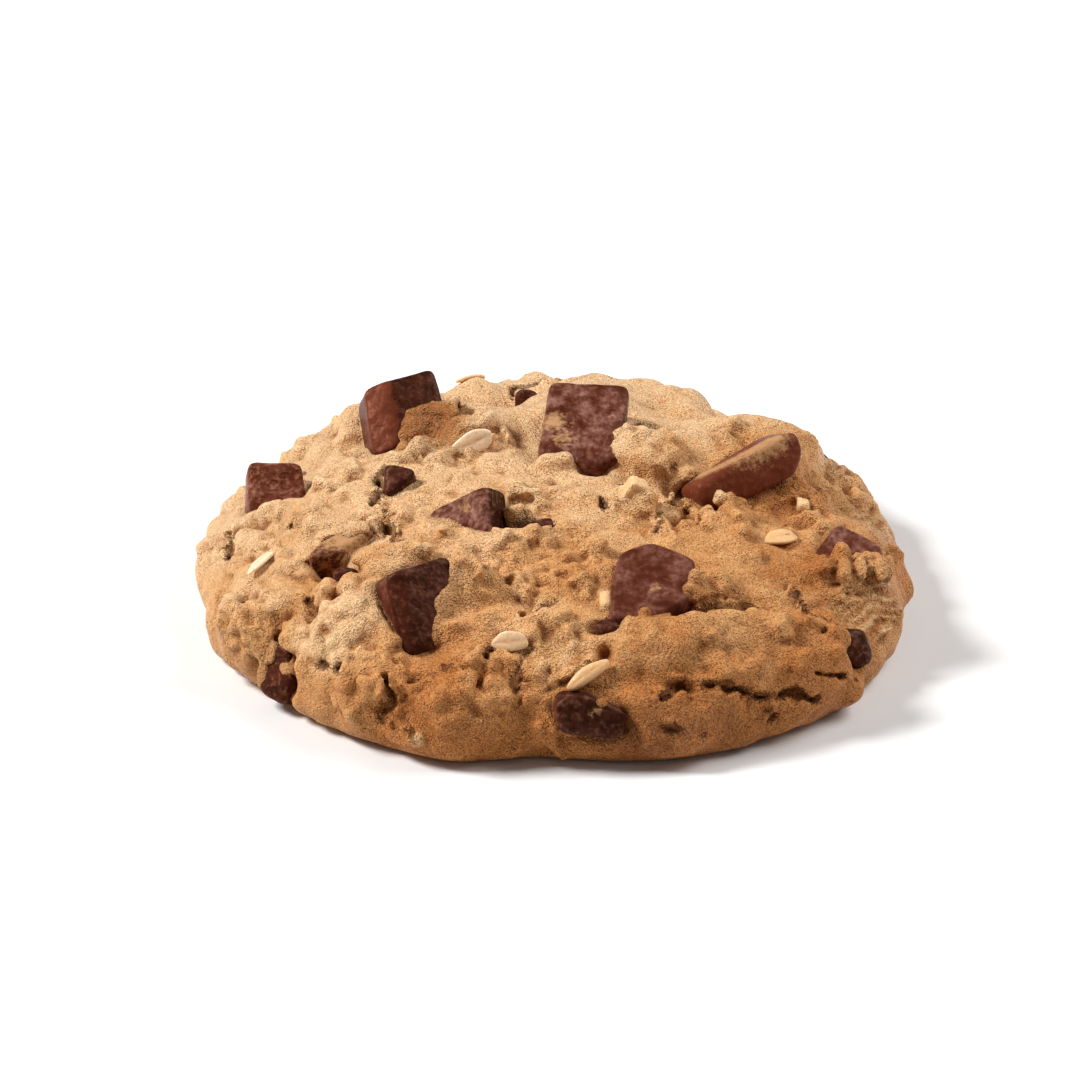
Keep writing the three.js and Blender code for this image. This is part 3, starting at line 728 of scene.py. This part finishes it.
class Finish:
    """A material that is mixed one node at a time."""

    def __init__(self, name):
        self.material = bpy.data.materials.new(name)
        self.material.use_nodes = True
        self.tree = self.material.node_tree
        self.shader = self.tree.nodes["Principled BSDF"]

    def node(self, kind, sockets, output=0, **settings):
        """One output of a new node, with its settings made and its sockets filled."""
        node = self.tree.nodes.new(kind)
        for name, setting in settings.items():
            setattr(node, name, setting)
        self.fill(node, sockets)
        return Value(self, node.outputs[output])

    def fill(self, node, sockets):
        """Fills or links the sockets of a node."""
        for name, value in sockets.items():
            if isinstance(value, Value):
                self.tree.links.new(value.socket, node.inputs[name])
            else:
                node.inputs[name].default_value = value

    def math(self, operation, a, b):
        """A sum, product or the like of two values."""
        return self.node("ShaderNodeMath", {0: a, 1: b}, operation=operation)

    def mix(self, share, a, b, blend="MIX"):
        """Colour a turning into colour b, or into a blend of the two."""
        sockets = {0: share, 6: a, 7: b}
        return self.node("ShaderNodeMix", sockets, output=2, data_type="RGBA", blend_type=blend)

    def rise(self, value, low, high):
        """0 below low, 1 above high and a smooth rise between them."""
        sockets = {"Value": value, "From Min": low, "From Max": high}
        return self.node("ShaderNodeMapRange", sockets, interpolation_type="SMOOTHSTEP")

    def layer(self, name):
        """A value that is stored at the points of the mesh."""
        return self.node("ShaderNodeAttribute", {}, output="Fac", attribute_name=name)

    def specks(self, size, detail):
        """Noise of a size in millimetres, fixed to the piece."""
        place = self.node("ShaderNodeTexCoord", {}, output="Object")
        sockets = {"Vector": place, "Scale": 1 / (size * MM), "Detail": detail, "Roughness": 0.6}
        return self.node("ShaderNodeTexNoise", sockets)

    def bump(self, height, depth, below=None):
        """A normal that follows a height, which is a depth in millimetres at 1."""
        sockets = {"Height": height, "Distance": depth * MM, "Strength": 1.0}
        if below is not None:
            sockets["Normal"] = below
        return self.node("ShaderNodeBump", sockets)

    def set(self, **sockets):
        """Fills the shader's own sockets, named with _ for each space."""
        self.fill(self.shader, {name.replace("_", " "): v for name, v in sockets.items()})


def srgb(red, green, blue):
    """A colour as a screen shows it, from 0 to 255, in the shader's own scale."""
    parts = [part / 255 for part in (red, green, blue)]
    return (*(p / 12.92 if p < 0.04045 else ((p + 0.055) / 1.055) ** 2.4 for p in parts), 1.0)


CREAM = srgb(224, 183, 138)
GOLDEN = srgb(206, 151, 97)
TOASTED = srgb(178, 113, 58)
BAKED_EDGE = srgb(144, 85, 42)
# painted shade colour for pits, creases and wrinkle valleys
CREASE = srgb(152, 90, 40)
# painted shade colour for hollows and cracks
CRACK_BROWN = srgb(102, 55, 26)
# colour of cocoa stains, also used for the painted shade on the lap
COCOA_STAIN = srgb(104, 62, 40)
NUT = srgb(238, 200, 150)
DARK_GRAIN = (0.72, 0.57, 0.41, 1.0)  # how much of the colour a dark and a pale grain keep
LIGHT_GRAIN = (1.24, 1.3, 1.36, 1.0)

baked = Finish("baked_dough")
mottle = baked.specks(5.0, detail=3.0)
patches = baked.specks(3.0, detail=1.0)
lumps = abs(baked.specks(1.5, detail=1.0) - 0.5)
crumbs = abs(baked.specks(0.75, detail=1.0) - 0.5)
sugar = baked.specks(0.34, detail=1.0)
dust = baked.specks(0.17, detail=0.0)
pit = baked.layer("pit")
gloss = baked.rise(baked.layer("gloss"), 0.0, 0.6)
pale = baked.rise(baked.layer("pale") + (sugar - 0.5) * 0.3, 0.45, 0.2)
brown = baked.layer("toast") + (mottle - 0.5) * 0.9
sandy = 0.4 + baked.layer("sandy") * 0.6 + baked.rise(brown, 0.6, 1.2) * 0.8
sandy = sandy * (1 - pale * 0.7)

# From cream to the brown of the rim, which also gives the lap its painted shade, with painted shade
# in the creases between lumps, and pale nut bits.
colour = CREAM
for begun, done, browner in ((0.05, 0.55, GOLDEN), (0.5, 1.0, TOASTED), (1.0, 1.6, BAKED_EDGE)):
    colour = baked.mix(baked.rise(brown, begun, done), colour, browner)
# painted shade in pits and creases between lumps
colour = baked.mix(baked.rise(pit, 0.02, 0.4) * 0.7, colour, CREASE)
open_here = baked.rise(patches, 0.42, 0.6)
# painted shade in the creases of the fine lumps and crumbs
creased = (baked.rise(lumps, 0.03, 0.0) + baked.rise(crumbs, 0.05, 0.0) * 0.6) * open_here
colour = baked.mix(creased * 0.25, colour, CREASE)
colour = baked.mix(pale * 0.85, colour, NUT)

# Sugar and flour give it a dark and pale grain, with painted shade in pits, hollows and cracks,
# painted highlight and shade on the wrinkles, and stains.
grain = baked.rise(sugar, 0.3, 0.54) * 0.55 + baked.rise(dust, 0.32, 0.58) * 0.5 - 0.65
# the grain is pushed dark in pits: painted shade
grain = baked.mix(0.5 + sandy * grain - pit * 0.6, DARK_GRAIN, LIGHT_GRAIN)
colour = baked.mix(1.0, colour, grain, blend="MULTIPLY")
# painted shade in small and wide hollows
deep = baked.rise(pit * 0.6 + baked.layer("dip") * 0.7, 0.35, 1.05)
colour = baked.mix(deep * 0.8, colour, CRACK_BROWN)
# painted highlight on the wrinkle crests and painted shade in their valleys
crest = baked.layer("wrinkle") + (sugar - 0.5) * 0.8
colour = baked.mix(baked.rise(crest, 0.1, 0.8) * 0.75, colour, CREAM)
colour = baked.mix(baked.rise(crest, -0.2, -0.9) * 0.6, colour, CREASE)
# painted shade inside the cracks, with a frayed edge
frayed = baked.layer("seam") + (crumbs - 0.1) * 1.4 + (sugar - 0.5) * 0.9
torn = baked.rise(frayed, 0.2, -0.1)
colour = baked.mix(torn * 0.65, colour, CRACK_BROWN)
# cocoa stains near the chunks, and painted shade on the lap over the back left chunk
colour = baked.mix(baked.layer("cocoa") * 0.45, colour, COCOA_STAIN)

# The relief that is too fine for the mesh, from cracks and lumps down to dust.
rugged = (0.3 + open_here * 0.6 + gloss * 0.4) * (1 - pale * 0.85)
relief = baked.bump(lumps * rugged, 0.7, below=baked.bump(1 - torn, 0.4))
relief = baked.bump(crumbs * rugged, 0.6, below=relief)
relief = baked.bump(sugar * (1 - pale * 0.7), 0.3, below=relief)
baked.set(
    Base_Color=colour,
    Roughness=0.58 - baked.rise(sugar, 0.48, 0.7) * 0.3 - gloss * 0.15 + torn * 0.3,
    Normal=baked.bump(dust, 0.11, below=relief),
    Specular_IOR_Level=0.45,
    Specular_Tint=(1.0, 0.76, 0.48, 1.0),
    Subsurface_Weight=0.25,
    Subsurface_Radius=(1.0 * MM, 0.5 * MM, 0.25 * MM),
    Subsurface_Scale=1.0,
)
dough_piece.data.materials.append(baked.material)
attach(dough_piece, "root")
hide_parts("dough")


# Chocolate chunks. Pieces chopped from a slab, their edges melted round in the oven, with a
# satin face and a faint bloom. Each is held by the dough that closed round it.

CHUNK_CELL = 0.26
CHUNK_ROOM = 1.0  # round a chunk's solid
CHUNK_MERGE = 0.03
MELT = 0.22  # how far the edges melted round
SWELL = 0.15  # makes up for what melting takes off
WAVE_PITCH, WAVE_HEIGHT = 3.5, 0.08
GRAIN_PITCH, GRAIN_HEIGHT = 1.3, 0.05
RIM_GRAIN_HEIGHT = 0.13  # the rim's chunks lay in the hot crust
FACET_FILLET = 0.3
LEFT_WARMTH = 0.45  # painted light: how much warmer and lighter the brown of the left-facing sides is painted
DARK = srgb(48, 20, 12)
WARM = srgb(108, 52, 34)
BLOOM = srgb(160, 118, 106)
SMEAR = srgb(196, 150, 104)
# painted highlight colour for glints on the dents
SHEEN = srgb(186, 130, 100)
TONES = {  # how warm a chunk's brown is, how far it has bloomed and how dented it is, which also sets its painted highlights
    "chunk_back_left": (0.08, 0.0, 0.2), "chunk_left": (0.75, 0.3, 1.1),
    "chunk_back": (0.5, 0.6, 0.5), "chunk_back_right": (0.95, 0.0, 0.3),
    "chunk_left_middle": (0.5, 0.1, 0.5), "chunk_centre": (0.5, 0.95, 0.8),
    "chunk_front_left": (0.12, 0.1, 0.3), "chunk_right_middle": (0.55, 0.4, 0.2),
    "chunk_right": (0.6, 0.6, 0.3), "chunk_front": (0.1, 0.1, 0.4),
    "chunk_left_rim": (0.2, 0.0, 0.5), "chunk_right_rim": (0.05, 0.0, 0.5),
}
OTHER_TONE = (0.15, 0.1, 0.4)
SMEARS = {  # pixels where dough wiped off on a chunk, and how far
    "back chunk, upper left": ((547, 404), 2.4),
    "back chunk, left": ((554, 424), 2.6),
    "back chunk, lower left": ((562, 441), 2.2),
    "back chunk, spot": ((606, 412), 1.4),
    "left middle chunk, top": ((322, 547), 6.0),
    "left middle chunk, end": ((345, 538), 5.0),
    "centre chunk": ((468, 508), 1.6),
    "right middle chunk": ((656, 590), 1.2),
    "front chunk": ((600, 712), 1.3),
}
for step in range(6):
    SMEARS[f"back right chunk, top {step}"] = ((708 + 13 * step, 475 - 6.2 * step), 3.3)

satin = Finish("dark_chocolate")
waves = satin.specks(2.6, detail=1.0)
dents = satin.specks(0.8, detail=1.0)
fine = satin.specks(0.25, detail=0.0)
dull = satin.layer("bloom") * satin.rise(waves, 0.3, 0.7)
smeared = satin.layer("smear")
ragged_edge = dents - 0.5 + (fine - 0.5) * 0.6
wiped = satin.rise(smeared * 1.4 + ragged_edge, 0.2, 1.0) * satin.rise(smeared, 0.0, 0.15)
dent_depth = satin.layer("dented")
# the chunk's own brown tone, with painted light on left sides and lit facets and painted shade on a
# shaded facet
warm_brown = satin.layer("warm") + (waves - 0.5) * 0.8 + (dents - 0.5) * 0.5
colour = satin.mix(warm_brown, DARK, WARM)
colour = satin.mix(dull * satin.rise(dents, 0.2, 0.75), colour, BLOOM)
# painted highlight: glints painted lighter on the raised dents
colour = satin.mix(satin.rise(dents, 0.52, 0.72) * dent_depth * 0.3, colour, SHEEN)
colour = satin.mix(wiped * 0.75, colour, SMEAR)
relief = satin.bump(dents * dent_depth, 0.34, below=satin.bump(waves, 0.3))
satin.set(
    Base_Color=colour,
    Roughness=0.38 + dull * 0.25 + wiped * 0.3,
    Normal=satin.bump(fine, 0.012, below=relief),
    IOR=1.35,
    Specular_IOR_Level=0.28,
    Specular_Tint=(1.0, 0.42, 0.2, 1.0),
)

for node in chunk_nodes:
    low, high = np.array(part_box(node)) / MM
    box = Block(low - CHUNK_ROOM, high + CHUNK_ROOM, CHUNK_CELL)
    chunk = box.blur(box.solid(node), MELT)
    if node in facet_planes:
        centre, outward, facet_warmth = facet_planes[node]
        cells, away = box.near(centre, FACET_REACH)
        cut = ahead(away, outward)
        chunk[cells] = -soft_join(-chunk[cells], -cut, FACET_FILLET)
    rough = RIM_GRAIN_HEIGHT if node.endswith("rim") else GRAIN_HEIGHT
    waviness = WAVE_HEIGHT * box.hills(WAVE_PITCH)
    chunk += waviness + rough * box.hills(GRAIN_PITCH) - SWELL
    chunk_name = node.replace("chunk", "chocolate")
    chunk_piece, chunk_spots = box.piece(chunk_name, chunk, CHUNK_MERGE)
    warm, bloom, dented = TONES.get(node, OTHER_TONE)
    to_the_left = -box.slope(chunk, chunk_spots)[:, 0]
    # painted light: sides facing left are painted warmer and lighter
    warm = warm + LEFT_WARMTH * step_up(to_the_left, 0.6, 0.9)
    if node in facet_planes:
        on_facet = step_up((chunk_spots - centre) @ outward, -0.2, -0.05)
        # painted light on a lit facet, painted shade on a shaded one
        warm = warm + facet_warmth * on_facet
        bloom = bloom * (1 - on_facet)
    smear = marked(SMEARS, chunk_spots)
    store(chunk_piece, warm=warm, bloom=bloom, dented=dented, smear=smear)
    chunk_piece.data.materials.append(satin.material)
    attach(chunk_piece, "root")
    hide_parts(node)


# Rolled oats. Steamed and rolled groats, thin and pale with a brown crease along the middle,
# stuck flat on the dough or half sunk in it.

FLAKE_RINGS, FLAKE_SIDES = 14, 36
THIN, THICK = 0.38, 0.8  # half the thickness of a flake
CREASE_WIDTH = 0.16  # share of half the width
CREASE_DEPTH = 0.06
CUP, BOW = 0.1, 0.2  # how far its sides turn up and its tips down
SEAT_REACH = 1.3  # over which the dough under a flake is evened out
OATS = {  # pixels of the two tips, half the width and thickness, lean, how golden, how far raised
    "by the back left lap": ((460, 457), (493, 440), 1.6, THIN, 42, 0.0, 0.75),
    "in the middle": ((493, 642), (530, 640), 1.4, THIN, 40, 0.5, 0.95),
    "on the left": ((258, 578), (281, 552), 1.0, THIN, -10, 0.0, 0.6),
    "on the right": ((765, 539), (796, 537), 1.4, THIN, 0, 1.0, 0.15),
    "before the front chunk": ((566, 685), (607, 659), 1.05, THICK, 10, 1.0, 0.8),
}
HIDDEN_OATS = {  # spots near the surface of the two tips, half the width
    "at the back": ((-13.4, 37.5, 13), (-9.6, 40.7, 12), 1.6),
    "at the back right": ((32.4, 29.8, 12), (30.6, 34.4, 11), 1.6),
    "at the back left": ((-39.6, 16, 12), (-43.4, 18.2, 10), 1.5),
}
HIDDEN_SET = (THIN, 0, 0.3, 0.5)  # thickness, lean, how golden and how far raised
seat = block.blur(dough, SEAT_REACH)
ring = np.linspace(0, math.pi, FLAKE_RINGS + 1)[1:-1]
side = np.linspace(0, 2 * math.pi, FLAKE_SIDES, endpoint=False)
r, s = np.meshgrid(ring, side, indexing="ij")
flakes = [(seen(a)[0], seen(b)[0], *rest) for a, b, *rest in OATS.values()]
flakes += [(np.array(a), np.array(b), wide, *HIDDEN_SET) for a, b, wide in HIDDEN_OATS.values()]
points, creases, goldens = [], [], []
for tip_a, tip_b, wide, thick, lean, golden, raised in flakes:
    spot = onto(seat, (tip_a + tip_b) / 2)[0]
    outward = block.slope(seat, spot[None])[0]
    turn = math.radians(lean)
    outward = np.array([
        outward[0],
        outward[1] * math.cos(turn) - outward[2] * math.sin(turn),
        outward[1] * math.sin(turn) + outward[2] * math.cos(turn),
    ])
    across = np.cross(outward, tip_b - tip_a)
    across /= np.linalg.norm(across)
    along = np.cross(across, outward)
    half_sizes = np.array([np.linalg.norm(tip_b - tip_a) / 2, wide, thick])
    uneven = 1 + 0.05 * np.cos(3 * s + rng.uniform(0, 6)) + 0.03 * np.cos(5 * s + rng.uniform(0, 6))
    x = np.sin(r) ** 0.8 * np.cos(s) * uneven
    y = np.sin(r) ** 0.8 * np.sin(s) * uneven
    z = np.sign(np.cos(r)) * np.abs(np.cos(r)) ** 0.7
    crease = np.exp(-((y / CREASE_WIDTH) ** 2)) * np.clip(1.1 - x * x, 0, 1)
    flat = np.stack([x.ravel(), y.ravel(), z.ravel()], 1)
    flat = np.concatenate([flat, [[0, 0, 1], [0, 0, -1]]])
    crease = np.concatenate([crease.ravel(), [1, 1]])
    shape = flat * half_sizes
    shape[:, 2] -= CREASE_DEPTH * crease * (flat[:, 2] > 0)
    shape[:, 2] += CUP * flat[:, 1] ** 2 - BOW * flat[:, 0] ** 2
    points.append(spot + raised * outward + shape @ np.stack([along, across, outward]))
    creases.append(crease * (flat[:, 2] > 0))
    goldens.append(np.full(len(flat), golden))

# Quads between a flake's rings, and triangles to its top and bottom.
rows = np.arange(r.size).reshape(r.shape)
after = np.roll(rows, -1, axis=1)
quads = np.stack([rows[:-1], rows[1:], after[1:], after[:-1]], -1).reshape(-1, 4)
top, under = np.full((2, FLAKE_SIDES), [[r.size], [r.size + 1]])
caps = np.stack([[top, rows[0], after[0]], [under, after[-1], rows[-1]]])
caps = np.moveaxis(caps, 1, 2).reshape(-1, 3)
starts = (r.size + 2) * np.arange(len(flakes))[:, None, None]
faces = [(starts + quads).reshape(-1, 4), (starts + caps).reshape(-1, 3)]
oat_piece = mesh_piece("oat_flakes", np.concatenate(points), faces)
store(oat_piece, crease=np.concatenate(creases), golden=np.concatenate(goldens))

HUSK = srgb(244, 219, 188)
HUSK_TAN = srgb(236, 202, 162)
GOLDEN_GRAIN = srgb(226, 176, 118)
CREASE_BROWN = srgb(208, 150, 92)
oat = Finish("rolled_oat")
streaks = oat.specks(0.5, detail=3.0)
colour = oat.mix(oat.rise(streaks, 0.4, 0.65), HUSK, HUSK_TAN)
colour = oat.mix(oat.layer("golden") * (0.4 + streaks), colour, GOLDEN_GRAIN)
colour = oat.mix(oat.layer("crease") * 0.45, colour, CREASE_BROWN)
oat.set(
    Base_Color=colour,
    Roughness=0.34 + streaks * 0.2,
    Normal=oat.bump(streaks, 0.1),
    Subsurface_Weight=0.3,
    Subsurface_Radius=(1.5 * MM, 0.9 * MM, 0.5 * MM),
    Subsurface_Scale=1.0,
)
oat_piece.data.materials.append(oat.material)
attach(oat_piece, "root")


# Studio. A pale floor, a soft lamp on the left, a wider and weaker one on the right and a faint
# sky, with the camera where the photograph was taken from.

FLOOR_CORNERS = [(-2, -2, 0), (2, -2, 0), (2, 2, 0), (-2, 2, 0)]  # metres
FLOOR_PAINT = (0.86, 0.85, 0.84, 1.0)
SKY_COLOUR = (1.0, 0.98, 0.96, 1.0)
SKY_STRENGTH = 0.15
floor_mesh = bpy.data.meshes.new("floor")
floor_mesh.from_pydata(FLOOR_CORNERS, [], [(0, 1, 2, 3)])
floor = add_object("floor", floor_mesh)
paint = Finish("pale_floor")
paint.set(Base_Color=FLOOR_PAINT, Roughness=0.8)
floor_mesh.materials.append(paint.material)

scene = bpy.context.scene
scene.view_settings.view_transform = "Standard"
scene.world = bpy.data.worlds.new("studio")
scene.world.use_nodes = True
sky = scene.world.node_tree.nodes["Background"]
sky.inputs["Color"].default_value = SKY_COLOUR
sky.inputs["Strength"].default_value = SKY_STRENGTH


def aim(thing, place, target):
    """Puts a lamp or camera at a place, looking at a target."""
    thing.location = place
    look = Vector(target) - Vector(place)
    thing.rotation_euler = look.to_track_quat("-Z", "Y").to_euler()


LAMP_TARGET = (0, 0, 0.01)  # middle of the cookie
LAMPS = (  # name, place in metres, side of the lamp, power in watts
    ("key", (-0.48, 0.02, 0.48), 0.20, 5.7),
    ("rim", (0.45, 0.12, 0.45), 0.40, 3.2),
)
for name, place, size, power in LAMPS:
    lamp = bpy.data.lights.new(name, "AREA")
    lamp.size = size
    lamp.energy = power
    aim(add_object(name, lamp), place, LAMP_TARGET)

camera_data = bpy.data.cameras.new("camera")
camera_data.lens = FOCAL_LENGTH
camera_data.sensor_width = SENSOR
camera_data.clip_start = 0.01
camera = add_object("camera", camera_data)
aim(camera, EYE * MM, AIM_AT * MM)
scene.camera = camera
